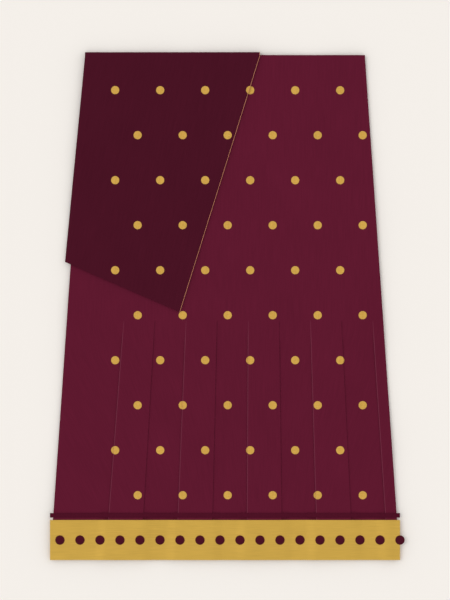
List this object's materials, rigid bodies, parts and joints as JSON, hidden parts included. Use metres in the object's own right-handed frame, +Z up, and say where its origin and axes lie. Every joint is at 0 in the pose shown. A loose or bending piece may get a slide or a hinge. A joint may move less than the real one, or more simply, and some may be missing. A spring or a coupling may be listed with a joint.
{
  "type": "saree",
  "caption": "Saree folded and laid flat: burgundy silk with woven gold spots, box pleats fanning to a gold border with dark roundels, and a darker end piece laid slantwise over one top corner.",
  "frame": {"origin": "middle of the outline seen from above, on the surface that the saree lies on", "axes": "+Z up from the surface, +Y from the hem with the gold border to the top edge, +X to the right seen from above with the hem nearest"},
  "size_m": [0.8006, 1.148, 0.0152],
  "materials": {
    "silk": "burgundy woven silk with gold woven spots, soft sheen",
    "pallu_silk": "dark maroon woven silk with gold woven spots, soft sheen",
    "zari": "woven gold zari thread, satin metallic sheen",
    "dark_ribbon": "dark maroon satin-stitched silk"
  },
  "bodies": {
    "root": {"hidden_layers": "silk", "hidden_border": "zari", "wrap_front": "silk", "hem_border": "zari", "border_ribbon": "dark_ribbon", "border_roundel_01": "dark_ribbon", "border_roundel_02": "dark_ribbon", "border_roundel_03": "dark_ribbon", "border_roundel_04": "dark_ribbon", "border_roundel_05": "dark_ribbon", "border_roundel_06": "dark_ribbon", "border_roundel_07": "dark_ribbon", "border_roundel_08": "dark_ribbon", "border_roundel_09": "dark_ribbon", "border_roundel_10": "dark_ribbon", "border_roundel_11": "dark_ribbon", "border_roundel_12": "dark_ribbon", "border_roundel_13": "dark_ribbon", "border_roundel_14": "dark_ribbon", "border_roundel_15": "dark_ribbon", "border_roundel_16": "dark_ribbon", "border_roundel_17": "dark_ribbon", "border_roundel_18": "dark_ribbon", "pallu": "pallu_silk", "pallu_inner_folds": "pallu_silk", "pallu_piping": "zari"}
  },
  "joints": []
}
